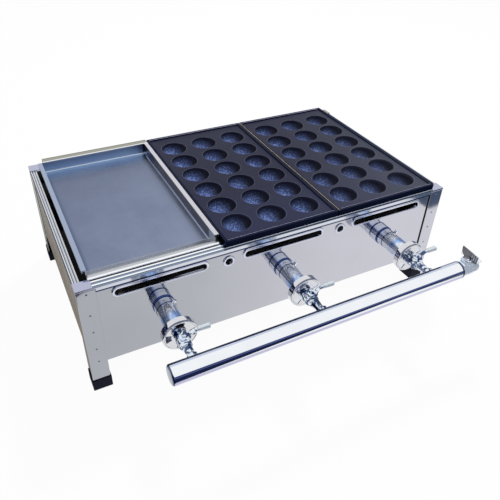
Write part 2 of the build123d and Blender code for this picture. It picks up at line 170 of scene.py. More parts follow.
# finishes
def sheetFinish(name, look):                   # rolled stainless with faint polishing lines
    finish = Finish(name, Metallic=1.0)
    where = finish.position()
    lines = finish.noise(finish.stretched(where, look["grain"]), 1.0, 4.0, 0.6)
    cloud = finish.noise(where, look["cloud"], 4.0, 0.6)
    shade = finish.tint(cloud, look["dull"], look["bright"])
    if "left" in look:                         # painted shade: a duller left end, for the floor's reflection falling off there
        toRight = finish.mask(finish.split(where, 0), -0.30, 0.16)
        shade = finish.tint(toRight, finish.tint(cloud, *look["left"]), shade)
        lines = lines * toRight
    shade = finish.tint(lines * 0.35, shade, look["line"])
    if "inside" in look:                       # painted shade: the side inside the casing darkened near black
        axis, limit = look["inside"]
        inner = finish.mask(abs(finish.split(where, axis)), limit + 0.0006, limit + 0.0003)
        shade = finish.tint(inner, shade, (0.02, 0.02, 0.02))
    if "edge" in look:                         # painted shade: dark navy outer edges; and the dark joint beside a leg
        rim = finish.mask(abs(finish.split(where, 0)), look["edge"] - 0.0012, look["edge"] - 0.0006)
        shade = finish.tint(rim, shade, (0.06, 0.08, 0.18))
        joint = abs(finish.split(where, 0) - look["joint"])
        shade = finish.tint(finish.mask(joint, 0.0012, 0.0007), shade, (0.05, 0.055, 0.06))
    finish.feed("Base Color", shade)
    finish.feed("Roughness", look["rough"] + lines * 0.05 + cloud * look["smear"])
    finish.bump(lines, look["relief"], 0.04)
    return finish


mirrorSheet = sheetFinish("mirrorSheet", {
    "grain": (3, 300, 900), "cloud": 4.0, "dull": (0.50, 0.50, 0.56), "bright": (0.64, 0.64, 0.71),
    "left": ((0.35, 0.37, 0.40), (0.44, 0.45, 0.49)), "line": (0.55, 0.55, 0.61), "rough": 0.03,
    "smear": 0.05, "relief": 0.02, "edge": cadHigh[0],
    "joint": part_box("leg_front_right")[0].x - 0.0003})
satinSheet = sheetFinish("satinSheet", {
    "grain": (500, 4, 500), "cloud": 9.0, "dull": (0.50, 0.50, 0.51), "bright": (0.66, 0.66, 0.68),
    "line": (0.42, 0.42, 0.43), "rough": 0.16, "smear": 0.12, "relief": 0.08})
warm = {"grain": (400, 5, 400), "cloud": 7.0, "dull": (0.36, 0.35, 0.31),
        "bright": (0.46, 0.45, 0.41), "line": (0.34, 0.33, 0.30), "rough": 0.14, "smear": 0.10,
        "relief": 0.05}
panelInside = 0.0045                           # metres from the outline to a panel's inner face
sideSheet = sheetFinish("sideSheet", {**warm, "inside": (0, cadHigh[0] - panelInside)})
rearSheet = sheetFinish("rearSheet", {**warm, "inside": (1, cadHigh[1] - panelInside)})
beadSheet = sheetFinish("beadSheet", {
    "grain": (4, 600, 600), "cloud": 12.0, "dull": (0.62, 0.64, 0.76), "bright": (0.74, 0.76, 0.86),
    "line": (0.62, 0.65, 0.74), "rough": 0.10, "smear": 0.08, "relief": 0.05})
darkSteel = sheetFinish("darkSteel", {
    "grain": (80, 80, 80), "cloud": 90.0, "dull": (0.14, 0.14, 0.15), "bright": (0.30, 0.30, 0.32),
    "line": (0.2, 0.2, 0.2), "rough": 0.25, "smear": 0.1, "relief": 0.1})


squareEdge = 0.278                             # metres to where the corner squares begin


def ribbedFinish(name, look):                  # stripes are (axis, centre, half width, colour)
    finish = Finish(name, Metallic=1.0)
    where = finish.position()
    cloud = finish.noise(where, 30.0, 4.0, 0.6)
    shade = finish.tint(cloud, look["dull"], look["bright"])
    if "low" in look:                          # painted shade: bluer below this height
        shade = finish.tint(finish.mask(finish.split(where, 2), look["low"] * 0.001 + 0.0006,
                                        look["low"] * 0.001 - 0.0006), shade, (0.50, 0.50, 0.68))
    for axis, centre, half, colour in look["stripes"]:
        off = abs(finish.split(where, axis) - centre * 0.001)
        shade = finish.tint(finish.mask(off, (half + 0.4) * 0.001, half * 0.001), shade, colour)
    for side in look["squares"]:               # -1 left and 1 right
        square = finish.mask(finish.split(where, 0) * side, squareEdge - 0.0002,
                             squareEdge + 0.0002)
        shade = finish.tint(square, shade, (0.45, 0.47, 0.61))
    finish.feed("Base Color", shade)
    finish.feed("Roughness", look["rough"] + cloud * 0.08)
    return finish


def chromeFinish():
    finish = Finish("chromePlate", Metallic=1.0)
    where = finish.position()
    haze = finish.noise(where, 30.0, 3.0)
    finish.feed("Base Color", finish.tint(haze, (0.74, 0.78, 0.86), (0.90, 0.92, 0.95)))
    finish.feed("Roughness", 0.02 + haze * 0.07)
    return finish


def tubeChromeFinish(look):                    # chrome, with painted shade in the joints of its sleeves and a painted blue reflection
    finish = Finish("tubeChrome", Metallic=0.75)
    where = finish.position()
    along = finish.split(where, 1)
    haze = finish.noise(where, 40.0, 3.0)
    shade = finish.tint(haze, (0.66, 0.72, 0.84), (0.88, 0.91, 0.95))
    # painted reflection: a blue patch part way along the tube
    blue = finish.mask(abs(along - look["blue"] * 0.001), 0.012, 0.006)
    shade = finish.tint(blue * finish.mask(haze, 0.42, 0.55) * 0.8, shade, (0.22, 0.42, 0.82))
    # painted shade: dark rings at the steps of the sleeves
    for place, half, colour in look["joints"]:
        off = abs(along - place * 0.001)
        shade = finish.tint(finish.mask(off, (half + 0.3) * 0.001, half * 0.001), shade, colour)
    finish.feed("Base Color", shade)
    finish.feed("Roughness", 0.10 + haze * 0.08)
    return finish


def cockChromeFinish():                        # plating over a cast and filed body, with dark navy patches of painted reflection
    finish = Finish("cockChrome", Metallic=1.0)
    where = finish.position()
    patch = finish.mask(finish.noise(where, 150.0, 2.0), 0.45, 0.53)
    haze = finish.noise(where, 30.0, 3.0)
    finish.feed("Base Color", finish.tint(patch, (0.06, 0.10, 0.20), (0.74, 0.80, 0.88)))
    finish.feed("Roughness", 0.03 + haze * 0.08)
    return finish


def dullNickel():                              # the main cock's blasted casting
    finish = Finish("dullNickel", Specular_IOR_Level=0.3)
    where = finish.position()
    grain = finish.noise(where, 700.0, 3.0, 0.65)
    spot = finish.mask(grain, 0.40, 0.62)
    finish.feed("Base Color", finish.tint(spot, (0.52, 0.63, 0.80), (0.90, 0.96, 1.0)))
    finish.feed("Roughness", 0.26 + grain * 0.12)
    finish.bump(grain, 0.10, 0.1)
    return finish


def seasonedIron(look):
    finish = Finish("seasonedIron", Specular_IOR_Level=0.22, Specular_Tint=(0.55, 0.66, 1.0, 1.0))
    where = finish.position()
    height = finish.split(where, 2)
    sunk = finish.mask(height, look["deck"] * 0.001 - 0.0010, look["deck"] * 0.001 - 0.0060)
    grain = finish.noise(where, 1100.0, 3.0, 0.7)
    speck = finish.mask(finish.noise(where, 430.0, 2.0, 0.6), 0.48, 0.66)
    film = finish.noise(where, 38.0, 4.0, 0.6)
    wearAndPaintedLight = finish.add("ShaderNodeAttribute", {"attribute_name": "wearAndPaintedLight"}, {}, 2)
    blued = finish.add("ShaderNodeAttribute", {"attribute_name": "blued"}, {}, 2)
    across, along = (finish.split(where, k) for k in range(2))
    # painted sheen: deck and bowls lighter towards the right and the front
    paintedSheen = finish.mask(across + along * -0.6, 0.04, 0.40)
    deck = finish.tint(film, (0.007, 0.008, 0.022), (0.015, 0.015, 0.034))
    near = finish.mask(along, 0.06, -0.10)
    deck = finish.tint(near * 0.5, deck, (0.026, 0.030, 0.074))
    deck = finish.tint(paintedSheen, deck, (0.054, 0.059, 0.084))
    # painted light: bowls blue where the painted glow lies, near black elsewhere as painted shade
    bowl = finish.tint(speck, (0.085, 0.125, 0.33), (0.32, 0.45, 0.84))
    bowl = finish.tint(paintedSheen * 0.6, bowl, (0.16, 0.18, 0.30))
    bowl = finish.tint(blued, (0.010, 0.009, 0.016), bowl)
    seasoned = finish.tint(sunk, deck, bowl)
    past = across - look["seam"] * 0.001
    # painted light on the rims: a lavender highlight, and near-black painted shade in the gap at
    # the seam
    paintedRimLightAndShade = finish.tint(finish.mask(abs(past), 0.0030, 0.0024), (0.58, 0.60, 0.84),
                       (0.008, 0.008, 0.012))
    thin = finish.mask(past, 0.0005, 0.0008) * finish.mask(past, 0.0026, 0.0021)
    paintedRimLightAndShade = finish.tint(thin, paintedRimLightAndShade, (0.36, 0.31, 0.25))
    wearAndPaintedRimLight = finish.tint(finish.mask(wearAndPaintedLight, 0.0, 1.0), seasoned, paintedRimLightAndShade)
    # painted shade: navy-black and metallic on the skirt and the rims' dark faces
    paintedShade = finish.mask(wearAndPaintedLight, 0.0, -1.0)
    finish.feed("Base Color", finish.tint(paintedShade, wearAndPaintedRimLight, (0.009, 0.012, 0.032)))
    finish.feed("Metallic", paintedShade.reckon("MAXIMUM", paintedShade, sunk * blued * 0.35))
    finish.feed("Roughness", 0.46 + grain * 0.14 - sunk * 0.06)
    finish.bump(grain + speck * 0.6, 0.35, 0.15)
    return finish


def bluedSteel(look):
    finish = Finish("bluedSteel", Metallic=1.0)
    where = finish.position()
    across, along, height = (finish.split(where, k) for k in range(3))
    rolled = finish.noise(finish.stretched(where, (60, 4, 60)), 1.0, 4.0, 0.6)
    cloud = finish.mask(finish.noise(where, 16.0, 5.0, 0.65), 0.30, 0.70)
    wall, foot, left, right = (look[k] * 0.001 for k in ("wall", "foot", "left", "right"))
    front, base = (look[k] * 0.001 for k in ("front", "floor"))
    floor = finish.tint(cloud, (0.140, 0.172, 0.265), (0.180, 0.218, 0.325))
    pale = finish.tint(cloud, (0.225, 0.270, 0.39), (0.285, 0.335, 0.47))
    floor = finish.tint(finish.mask(across - along, -0.44, 0.02), floor, pale)
    floor = finish.tint(rolled * 0.4, floor, (0.155, 0.185, 0.28))
    shaded = finish.mask(across, left + 0.0165, left + 0.0085)
    floor = finish.tint(shaded * 0.8, floor, (0.07, 0.105, 0.21))
    rear = finish.mask(along, wall - 0.040, wall - 0.006)
    tempered = finish.tint(rear * 0.75, floor, (0.46, 0.59, 0.79))
    raised = finish.mask(height, base + 0.0015, base + 0.0040)
    upright = finish.mask(along, wall - 0.006, wall - 0.002)
    top = raised * upright * finish.mask(height, base + 0.006, base + 0.016)
    tempered = finish.tint(top * 0.3, tempered, (0.30, 0.38, 0.50))
    # painted highlight: a pale band along the bend at the foot of the rear wall
    bend = finish.mask(abs(height - (base + 0.0025)), 0.0022, 0.0008) * upright
    tempered = finish.tint(bend * 0.7, tempered, (0.60, 0.70, 0.80))
    browned = raised * finish.mask(across, right - 0.012, right - 0.009)
    tempered = finish.tint(browned, tempered, (0.13, 0.105, 0.10))
    lipped = finish.tint(finish.mask(along, foot + 0.003, foot - 0.002), tempered,
                         (0.53, 0.55, 0.58))
    # painted highlight: near white along the rolled front edge
    nose = finish.mask(along, front + 0.0010, front + 0.0004)
    lipped = finish.tint(nose, lipped, (0.94, 0.96, 1.0))
    rim = finish.mask(height, base + 0.0165, base + 0.0182)
    side = finish.mask(across, left + 0.04, right - 0.04)
    # rim top bluer on the left and paler on the right; a painted highlight near white along the
    # rear wall's top, then olive and dark bands behind it
    paintedRimLightAndShade = finish.tint(side, (0.34, 0.40, 0.53), (0.62, 0.61, 0.66))
    paintedRimLightAndShade = finish.tint(finish.mask(along, wall - 0.001, wall), paintedRimLightAndShade, (0.90, 0.92, 0.94))
    paintedRimLightAndShade = finish.tint(finish.mask(along, wall + 0.0022, wall + 0.0032), paintedRimLightAndShade, (0.34, 0.34, 0.29))
    paintedRimLightAndShade = finish.tint(finish.mask(along, wall + 0.0110, wall + 0.0125), paintedRimLightAndShade, (0.15, 0.15, 0.12))
    finish.feed("Base Color", finish.tint(rim, lipped, paintedRimLightAndShade))
    finish.feed("Roughness", 0.24 + cloud * 0.12 - rim * 0.08)
    finish.bump(rolled, 0.05, 0.05)
    return finish


def footRubberFinish():
    finish = Finish("footRubber", Specular_IOR_Level=0.12)
    where = finish.position()
    grain = finish.noise(where, 700.0, 3.0)
    dust = finish.noise(where, 60.0, 4.0)
    finish.feed("Base Color", finish.tint(dust, (0.001, 0.002, 0.012), (0.004, 0.006, 0.024)))
    finish.feed("Roughness", 0.5 + grain * 0.2)
    finish.bump(grain, 0.2, 0.1)
    return finish


def sootedIron():
    finish = Finish("sootedIron")
    where = finish.position()
    grain = finish.noise(where, 450.0, 4.0, 0.7)
    soot = finish.noise(where, 35.0, 3.0)
    finish.feed("Base Color", finish.tint(soot, (0.010, 0.010, 0.011), (0.035, 0.032, 0.032)))
    finish.feed("Roughness", 0.6 + grain * 0.3)
    finish.bump(grain, 0.6, 0.3)
    return finish


def brassFinish():
    finish = Finish("turnedBrass", Metallic=1.0)
    where = finish.position()
    rings = finish.noise(finish.stretched(where, (40, 40, 2500)), 1.0, 2.0)
    finish.feed("Base Color", finish.tint(rings, (0.52, 0.38, 0.16), (0.74, 0.58, 0.30)))
    finish.feed("Roughness", 0.18 + rings * 0.12)
    return finish


def gripFinish():
    finish = Finish("gripSleeve", Metallic=0.35, Coat_Roughness=0.1)
    where = finish.position()
    film = finish.noise(where, 180.0, 3.0)
    finish.feed("Base Color", finish.tint(film, (0.62, 0.72, 0.80), (0.84, 0.90, 0.93)))
    finish.feed("Roughness", 0.22 + film * 0.15)
    finish.feed("Coat Weight", film * 0.6)
    return finish


chromePlate = chromeFinish()
cockChrome = cockChromeFinish()
nickel = dullNickel()
rubber = footRubberFinish()
soot = sootedIron()
brass = brassFinish()
sleeve = gripFinish()
print("finishes made")


# shaping helpers
def boxOf(node):
    low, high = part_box(node)
    return low * 1000, high * 1000


def sharpEdges(shape, limit):
    return [e for e in shape.edges if e.is_manifold and e.calc_face_angle() > math.radians(limit)]


def eased(shape, width, segments=2, limit=30, edges=None):
    chosen = sharpEdges(shape, limit) if edges is None else edges
    return bmesh.ops.bevel(shape, geom=chosen, offset=width, offset_type="OFFSET", affect="EDGES",
                           segments=segments, profile=0.5, material=-1, clamp_overlap=True)


def spun(profile, steps):                      # pairs of distance along the axis and radius
    shape = bmesh.new()
    line = [shape.verts.new((radius, 0, along)) for along, radius in profile]
    edges = [shape.edges.new(pair) for pair in zip(line, line[1:])]
    bmesh.ops.spin(shape, geom=line + edges, cent=(0, 0, 0), axis=(0, 0, 1), angle=math.tau,
                   steps=steps, use_merge=True)
    return shape


def turned(profile, steps=64):                 # the same, merged and facing outwards
    shape = spun(profile, steps)
    bmesh.ops.remove_doubles(shape, verts=shape.verts, dist=0.001)
    bmesh.ops.recalc_face_normals(shape, faces=shape.faces)
    return shape


def prism(sides, width, length, edge=0.4):     # across flats, standing on z = 0
    shape = bmesh.new()
    radius = width / 2 / math.cos(math.pi / sides)
    bmesh.ops.create_cone(shape, cap_ends=True, segments=sides, radius1=radius, radius2=radius,
                          depth=length)
    bmesh.ops.translate(shape, verts=shape.verts, vec=(0, 0, length / 2))
    eased(shape, edge, 2)
    return shape


def swept(corners, way):                       # a flat outline run along a vector
    shape = bmesh.new()
    face = shape.faces.new([shape.verts.new(corner) for corner in corners])
    copied = bmesh.ops.extrude_face_region(shape, geom=[face])["geom"]
    moved = [g for g in copied if isinstance(g, bmesh.types.BMVert)]
    bmesh.ops.translate(shape, verts=moved, vec=way)
    bmesh.ops.recalc_face_normals(shape, faces=shape.faces)
    return shape


def placed(shape, origin, direction=(0, 0, 1), spin=0.0):
    if tuple(direction) == (0, 0, 1):
        turn = Matrix.Identity(4)
    else:
        turn = Vector(direction).to_track_quat("Z", "Y").to_matrix().to_4x4()
    matrix = Matrix.Translation(origin) @ turn @ Matrix.Rotation(math.radians(spin), 4, "Z")
    bmesh.ops.transform(shape, matrix=matrix, verts=shape.verts)
    return shape


def gathered(*parts):
    whole = bmesh.new()
    for part in parts:
        mesh = bpy.data.meshes.new("part")
        part.to_mesh(mesh)
        part.free()
        whole.from_mesh(mesh)
        bpy.data.meshes.remove(mesh)
    return whole


def shown(name, shape, material):
    mesh = bpy.data.meshes.new(name)
    shape.to_mesh(mesh)
    shape.free()
    mesh.materials.clear()
    mesh.materials.append(material)
    piece = bpy.data.objects.new(name, mesh)
    bpy.context.scene.collection.objects.link(piece)
    return piece


def finished(name, shape, body, finish, replaced=(), smooth=32):
    bmesh.ops.scale(shape, vec=(0.001, 0.001, 0.001), verts=shape.verts)
    piece = shown(name, shape, finish.material)
    mesh = piece.data
    for layer in [a for a in mesh.attributes if a.name == "custom_normal"]:
        mesh.attributes.remove(layer)
    mesh.shade_smooth()
    mesh.set_sharp_from_angle(angle=math.radians(smooth))
    even = piece.modifiers.new("evenShading", "WEIGHTED_NORMAL")
    even.keep_sharp = True
    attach(piece, body)
    if replaced:
        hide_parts(*replaced)
    return piece


def mergedCopy(node):
    shape = bmesh.new()
    shape.from_mesh(nodes[node].data)
    bmesh.ops.scale(shape, vec=(1000, 1000, 1000), verts=shape.verts)
    bmesh.ops.remove_doubles(shape, verts=shape.verts, dist=0.002)
    bmesh.ops.dissolve_limit(shape, angle_limit=math.radians(0.8), verts=shape.verts,
                             edges=shape.edges)
    return shape


def softened(node, name, finish, width=0.4, segments=2):
    shape = mergedCopy(node)
    eased(shape, width, segments)
    return finished(name, shape, nodes[node]["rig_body"], finish, [node])


# casing
casing = {"legEdge": 0.9, "panelEdge": 0.35, "railEdge": 0.45, "footEdge": 1.6, "stayEdge": 0.6}

for end in ("front", "rear"):
    for side in ("left", "right"):
        sheet = mirrorSheet if end == "front" else satinSheet
        softened(f"leg_{end}_{side}", f"leg-{end}-{side}", sheet, casing["legEdge"], 3)
        softened(f"foot_{end}_{side}", f"footCap-{end}-{side}", rubber,
                 casing["footEdge"], 3)
for node in ("rear_panel", "left_side_panel", "right_side_panel"):
    sheet = rearSheet if node == "rear_panel" else sideSheet
    softened(node, node.replace("_", "-"), sheet, casing["panelEdge"])
casingFront = boxOf("leg_front_left")[0].y
casingRight = boxOf("leg_front_right")[1].x
casingLeft = -casingRight
# painted shade for rail grooves and painted highlight for rail ribs
paintedGrooveShade = (0.12, 0.16, 0.24)
paintedRibHighlight = (0.94, 0.96, 0.98)
# painted highlights on the front rail's ribs; painted shade in its groove, at its top edge and
# under its hem
frontRibs = ribbedFinish("frontRibs", {
    "dull": (0.60, 0.62, 0.68), "bright": (0.74, 0.76, 0.82), "squares": (-1, 1), "rough": 0.08,
    "stripes": (
        (1, casingFront + 4.5, 1.2, paintedRibHighlight), (1, casingFront + 11.7, 1.2, paintedRibHighlight),
        (1, casingFront + 16.2, 1.8, (0.90, 0.93, 0.98)), (1, casingFront + 8.1, 0.8, paintedGrooveShade),
        (2, 184.9, 0.5, (0.22, 0.28, 0.38)), (2, 177.5, 1.7, (0.03, 0.05, 0.12)))})
rearRibs = ribbedFinish("rearRibs", {
    "dull": (0.30, 0.30, 0.26), "bright": (0.40, 0.40, 0.35), "squares": (-1,), "rough": 0.08,
    "stripes": ()})
# painted shade: dark lines in the side rails' grooves and at the outer edge, near black beside the
# griddle
sideRibs = ribbedFinish("sideRibs", {
    "dull": (0.62, 0.63, 0.65), "bright": (0.78, 0.79, 0.81), "squares": (), "rough": 0.12,
    "stripes": (
        (0, casingLeft + 0.2, 0.7, (0.05, 0.06, 0.10)), (0, casingLeft + 3.4, 0.5, paintedGrooveShade),
        (0, casingLeft + 7.2, 0.5, paintedGrooveShade), (0, casingLeft + 10.6, 0.5, (0.02, 0.02, 0.03)),
        (0, casingRight - 3.4, 0.5, paintedGrooveShade), (0, casingRight - 7.2, 0.5, paintedGrooveShade))})
for node, ribbed in (("front_rail", frontRibs), ("rear_rail", rearRibs),
                     ("left_side_rail", sideRibs), ("right_side_rail", sideRibs)):
    softened(node, node.replace("_", "-"), ribbed, casing["railEdge"], 3)
for node in ("cross_stay_left", "cross_stay_right"):
    softened(node, node.replace("_", "-"), darkSteel, casing["stayEdge"])
softened("burner_support_bar", "burner-support-bar", soot, casing["stayEdge"])

# the front panel keeps its own mesh, with its openings
nodes["front_panel"].data.materials.clear()
nodes["front_panel"].data.materials.append(mirrorSheet.material)

panelFace = boxOf("front_panel")[0].y
openings = {"burner": 109.0, "burner pitch": 187.5, "slot shift": 3.0, "slot height": 166.5,
            "slot radius": 5.25, "slot half": 64.0, "peephole": 210.0, "peephole pitch": 188.0,
            "peephole height": 163.0, "peephole radius": 5.5}
burnerX = [casingLeft + openings["burner"] + openings["burner pitch"] * bay for bay in range(3)]
tubeZ = 128.0

rivets = {"from edge": 13.0, "heights": (177, 141, 111, 79, 55), "radius": 1.5, "rise": 0.5}


def rivetRow(name, x):
    parts = []
    for z in rivets["heights"]:
        rise, radius = rivets["rise"], rivets["radius"]
        head = turned([(rise, 0), (rise * 0.9, radius * 0.5), (rise * 0.5, radius * 0.88),
                       (0, radius), (-0.4, radius * 0.7), (-0.4, 0)], 16)
        parts.append(placed(head, (x, casingFront, z), (0, -1, 0)))
    return finished(name, gathered(*parts), "casing", darkSteel)


rivetRow("rivets-left-leg", casingLeft + rivets["from edge"])
rivetRow("rivets-right-leg", -casingLeft - rivets["from edge"])

# rolled beads round the slots and the peepholes, which reach in through the panel
bead = {"proud": 2.0, "depth": 2.2, "steps": 32, "edge": 0.8, "slot width": 3.0,
        "slot hood": 0.9, "peephole width": 3.6}


def rolledBead(x, z, radius, half, width, hood):    # the hood is its reach up under the rail
    shape = bmesh.new()
    outer = radius + width + hood
    rings = [(radius, panelFace + bead["depth"], 0), (radius, panelFace - bead["proud"], 0),
             (outer - 0.6, panelFace - bead["proud"], hood), (outer, panelFace + 0.1, hood)]
    loops = []
    for size, y, lift in rings:
        ring = bmesh.ops.create_circle(shape, cap_ends=False, segments=bead["steps"], radius=size)
        turn = (Matrix.Rotation(math.pi / 2, 4, "X")
                @ Matrix.Rotation(math.pi / bead["steps"], 4, "Z"))
        bmesh.ops.transform(shape, matrix=turn, verts=ring["verts"])
        for vert in ring["verts"]:
            vert.co += Vector((x + math.copysign(half, vert.co.x), y, z + lift))
        loops.append(list({e for v in ring["verts"] for e in v.link_edges}))
    for first, second in zip(loops, loops[1:]):
        bmesh.ops.bridge_loops(shape, edges=first + second)
    bmesh.ops.recalc_face_normals(shape, faces=shape.faces)
    eased(shape, bead["edge"], 3, 40)
    return shape


slots = [rolledBead(x + openings["slot shift"], openings["slot height"], openings["slot radius"],
                    openings["slot half"] - openings["slot radius"], bead["slot width"],
                    bead["slot hood"]) for x in burnerX]
finished("slot-beads", gathered(*slots), "casing", beadSheet)
peepholes = [rolledBead(casingLeft + openings["peephole"] + openings["peephole pitch"] * k,
                        openings["peephole height"], openings["peephole radius"], 0.0,
                        bead["peephole width"], 0.0) for k in range(2)]
finished("peephole-beads", gathered(*peepholes), "casing", beadSheet)
print("casing dressed")

# cavity plates
plate = {
    "radius": 22.0, "depth": 19.0, "steps": 48, "bands": 9, "pitch": (57.6, 50.8), "count": (3, 6),
    "shift": -3.5, "deck": 192.5, "wall": 2.5, "rim": 4.2, "corner": 1.6, "seam": 94.4,
    # where each bowl's painted glow is centred, and how far it reaches
    "blued spot": (-4.0, 6.3), "blued reach": 14.5, "rim profile": (
        (0.6, 186.3), (0, 187.0), (0, 194.2), (0.25, 194.8), (0.8, 194.98), (2.3, 195.0),
        (2.5, 194.6), (3.0, 194.57), (3.15, 194.95), (4.4, 194.7), (5.0, 194.0), (5.2, 192.3),
        (5.2, 188.0), (3.0, 186.35))}
iron = seasonedIron(plate)


def bowlCell():
    ball = (plate["radius"] ** 2 + plate["depth"] ** 2) / (2 * plate["depth"])
    centre = ball - plate["depth"]
    reach = math.acos((centre + 0.9) / ball)
    profile = []
    for k in range(plate["bands"] + 1):
        angle = reach * k / plate["bands"]
        profile.append((centre - ball * math.cos(angle), ball * math.sin(angle)))
    lip = plate["radius"]
    profile += [(-0.35, lip + 0.12), (-0.06, lip + 0.6), (0.0, lip + 1.3)]
    cell = turned(profile, plate["steps"])
    border = [e for e in cell.edges if e.is_boundary]
    spread = bmesh.ops.extrude_edge_only(cell, edges=border)["geom"]
    halfX, halfY = plate["pitch"][0] / 2, plate["pitch"][1] / 2
    for vert in [g for g in spread if isinstance(g, bmesh.types.BMVert)]:
        quarter = math.atan2(vert.co.y, vert.co.x) / (math.pi / 4)    # -4 to 4 round the circle
        if abs(quarter) <= 1.001:
            vert.co = Vector((halfX, halfY * quarter, 0))
        elif abs(quarter) >= 2.999:
            vert.co = Vector((-halfX, halfY * math.copysign(4 - abs(quarter), quarter), 0))
        else:
            vert.co = Vector((halfX * (2 - abs(quarter)), math.copysign(halfY, quarter), 0))
    bmesh.ops.recalc_face_normals(cell, faces=cell.faces)
    return cell


def rimLoop(shape, low, high, inset, z):       # a rounded rectangle inside the plate's edge
    corner = plate["corner"]
    ring = bmesh.ops.create_circle(shape, cap_ends=False, segments=16, radius=corner)["verts"]
    bmesh.ops.rotate(shape, verts=ring, matrix=Matrix.Rotation(math.pi / 16, 3, "Z"))
    middle = (low + high) / 2
    half = (high - low) / 2
    for vert in ring:
        vert.co.x += math.copysign(half.x - inset - corner, vert.co.x) + middle.x
        vert.co.y += math.copysign(half.y - inset - corner, vert.co.y) + middle.y
        vert.co.z = z
    return list({e for v in ring for e in v.link_edges})


# wear and painted light on the rims: 1 rubbed bare with a painted highlight, also at the seam;
# below 0 painted shade on the skirt, the rim's inner face and outer bevels
def rimWearAndPaintedLight(inset, height, beside, atSeam):
    if inset < 0.9 and height > 194.5:
        return 1.0 if atSeam else -0.4
    if inset < 0.7 or 4.8 < inset < 5.3:
        return -1.0
    if height > 194.2 and 3.1 < inset < 4.8:
        return -0.3 if beside else 0.85
    if height > 194.2 and inset <= 3.1:
        return -1.0 if beside or inset > 2.4 else -0.25
    return 0.0


def cavityPlate(node, name):
    low, high = boxOf(node)
    middle = ((low.x + high.x) / 2, (low.y + high.y) / 2 + plate["shift"])
    cells = []
    for column in range(plate["count"][0]):
        for row in range(plate["count"][1]):
            x = middle[0] + (column - (plate["count"][0] - 1) / 2) * plate["pitch"][0]
            y = middle[1] + (row - (plate["count"][1] - 1) / 2) * plate["pitch"][1]
            cells.append(placed(bowlCell(), (x, y, plate["deck"])))
    deck = gathered(*cells)
    bmesh.ops.remove_doubles(deck, verts=deck.verts, dist=0.01)
    spanX, spanY = (plate["pitch"][k] * plate["count"][k] / 2 for k in range(2))
    gridX, gridY = spanX - 0.1, spanY - 0.1
    border = [e for e in deck.edges if e.is_boundary]
    spread = bmesh.ops.extrude_edge_only(deck, edges=border)["geom"]
    inside = plate["rim"] - 1.0
    for vert in [g for g in spread if isinstance(g, bmesh.types.BMVert)]:
        if abs(vert.co.x - middle[0]) > gridX:
            vert.co.x = low.x + inside if vert.co.x < middle[0] else high.x - inside
        if abs(vert.co.y - middle[1]) > gridY:
            vert.co.y = low.y + inside if vert.co.y < middle[1] else high.y - inside
    bmesh.ops.recalc_face_normals(deck, faces=deck.faces)
    if sum(f.normal.z * f.calc_area() for f in deck.faces) < 0:
        bmesh.ops.reverse_faces(deck, faces=deck.faces)
    bmesh.ops.solidify(deck, geom=deck.faces, thickness=plate["wall"])
    ring = bmesh.new()
    loops = [rimLoop(ring, low, high, inset, z) for inset, z in plate["rim profile"]]
    for first, second in zip(loops, loops[1:] + loops[:1]):
        bmesh.ops.bridge_loops(ring, edges=first + second)
    bmesh.ops.recalc_face_normals(ring, faces=ring.faces)
    whole = gathered(deck, ring)
    for layer in ("wearAndPaintedLight", "blued"):
        whole.verts.layers.float.new(layer)
    wearAndPaintedLight, blued = (whole.verts.layers.float[layer] for layer in ("wearAndPaintedLight", "blued"))
    for vert in whole.verts:                   # wear and painted light: 1 is bare metal with a painted highlight, 0 seasoned and -1 painted shade
        x = (vert.co.x - middle[0] + spanX) % plate["pitch"][0] - plate["pitch"][0] / 2
        y = (vert.co.y - middle[1] + spanY) % plate["pitch"][1] - plate["pitch"][1] / 2
        radius = math.hypot(x, y)
        inGrid = abs(vert.co.x - middle[0]) < gridX and abs(vert.co.y - middle[1]) < gridY
        inset = min(vert.co.x - low.x, high.x - vert.co.x, vert.co.y - low.y, high.y - vert.co.y)
        beside = min(vert.co.x - low.x, high.x - vert.co.x) < 5.3
        fall = max(0.0, min(1.0, (plate["deck"] - vert.co.z - 1.5) / 11.0))
        # painted glow: deep in each bowl, round a spot left of and behind its centre
        fromSpot = math.hypot(x - plate["blued spot"][0], y - plate["blued spot"][1])
        vert[blued] = fall * max(0.0, min(1.0, 1.50 - fromSpot / plate["blued reach"]))
        # each bowl's lip: wear with a painted highlight
        if inGrid and vert.co.z > plate["deck"] - 0.8 and plate["radius"] - 0.3 < radius:
            vert[wearAndPaintedLight] = 0.22 if radius < plate["radius"] + 0.9 else 0.0
        else:
            vert[wearAndPaintedLight] = rimWearAndPaintedLight(inset, vert.co.z, beside, abs(vert.co.x - plate["seam"]) < 2)
    return finished(name, whole, nodes[node]["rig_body"], iron, [node], 40)


cavityPlate("takoyaki_plate_middle", "cavityPlate-middle")
cavityPlate("takoyaki_plate_right", "cavityPlate-right")
print("cavity plates made")

# griddle
griddleLow, griddleHigh = boxOf("griddle_pan")
griddle = {"floor": 176.0, "sheet": 2.0, "bend": 3.2, "edge": 0.35,
           "wall": griddleHigh.y - 14.0, "foot": griddleLow.y + 28.0,
           "left": griddleLow.x, "right": griddleHigh.x, "front": griddleLow.y, "notch": 8.6,
           "nose": 1.5, "reach": 2.2}


